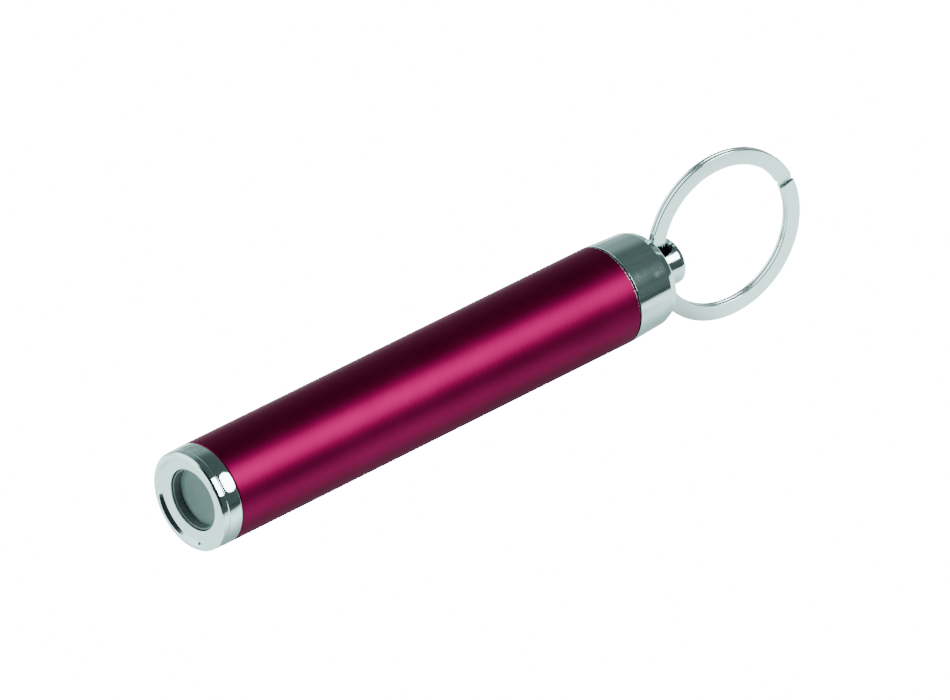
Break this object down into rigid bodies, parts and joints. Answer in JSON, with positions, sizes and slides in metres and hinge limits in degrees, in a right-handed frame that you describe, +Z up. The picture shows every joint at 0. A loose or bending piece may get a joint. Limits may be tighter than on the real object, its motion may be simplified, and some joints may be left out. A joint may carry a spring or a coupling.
{
  "type": "keychain flashlight",
  "caption": "Slim cylindrical torch with a recessed lens in a bright bezel, a twist tail cap with a drilled boss, and a flat split ring for keys.",
  "frame": {"origin": "on the surface that the object lies on, under the middle of its bounding box and below the torch axis", "axes": "+X along the torch axis from lens to tail, +Z up, +Y to the left when looking along +X"},
  "size_m": [0.1214, 0.016, 0.0283],
  "materials": {
    "anodised": "satin anodised",
    "chrome": "polished",
    "nickel": "bright nickel plate",
    "lens_glass": "polished",
    "rubber": "matte",
    "reflector_mirror": "vacuum metallised",
    "led_epoxy": "cast epoxy",
    "tinned_wire": "tinned",
    "plain_aluminium": "turned",
    "board_green": "solder mask",
    "chip_black": "moulded",
    "ferrite": "sintered",
    "capacitor_tan": "fired ceramic",
    "white_nylon": "moulded",
    "brass": "turned",
    "cell_label": "printed film, plain",
    "spring_steel": "drawn wire"
  },
  "bodies": {
    "torch": {"barrel": "anodised", "bezel": "chrome", "lens": "lens_glass", "lens_seal": "rubber", "reflector": "reflector_mirror", "led_lamp": "led_epoxy", "led_lead_anode": "tinned_wire", "led_lead_cathode": "tinned_wire", "lamp_holder": "plain_aluminium", "led_board": "board_green", "driver_chip": "chip_black", "driver_coil": "ferrite", "driver_capacitor": "capacitor_tan", "board_clamp": "white_nylon", "cell_contact": "brass", "cell_can": "cell_label", "cell_nub": "nickel"},
    "spring_carrier": {"tail_spring": "spring_steel", "spring_seat": "brass"},
    "tail_cap": {"tail_cap": "chrome", "tail_seal": "rubber", "seat_clip": "spring_steel"},
    "split_ring": {"split_ring": "nickel"}
  },
  "joints": [
    {"name": "tail_cap_travel", "type": "slide", "parent": "torch", "child": "spring_carrier", "axis": [1, 0, 0], "range_m": [-0.00025, 0.005]},
    {"name": "tail_cap_twist", "type": "hinge", "parent": "spring_carrier", "child": "tail_cap", "pos_m": [0.02359, 0, 0.01216], "axis": [1, 0, 0], "range_deg": [-90, 1800]},
    {"name": "split_ring_swing", "type": "hinge", "parent": "tail_cap", "child": "split_ring", "pos_m": [0.03389, 0, 0.01296], "axis": [0, 0, 1], "range_deg": [-88, 101]}
  ],
  "couplings": [
    {"joint": "tail_cap_travel", "follows": "tail_cap_twist", "m_per_rad": 0.00015915}
  ]
}
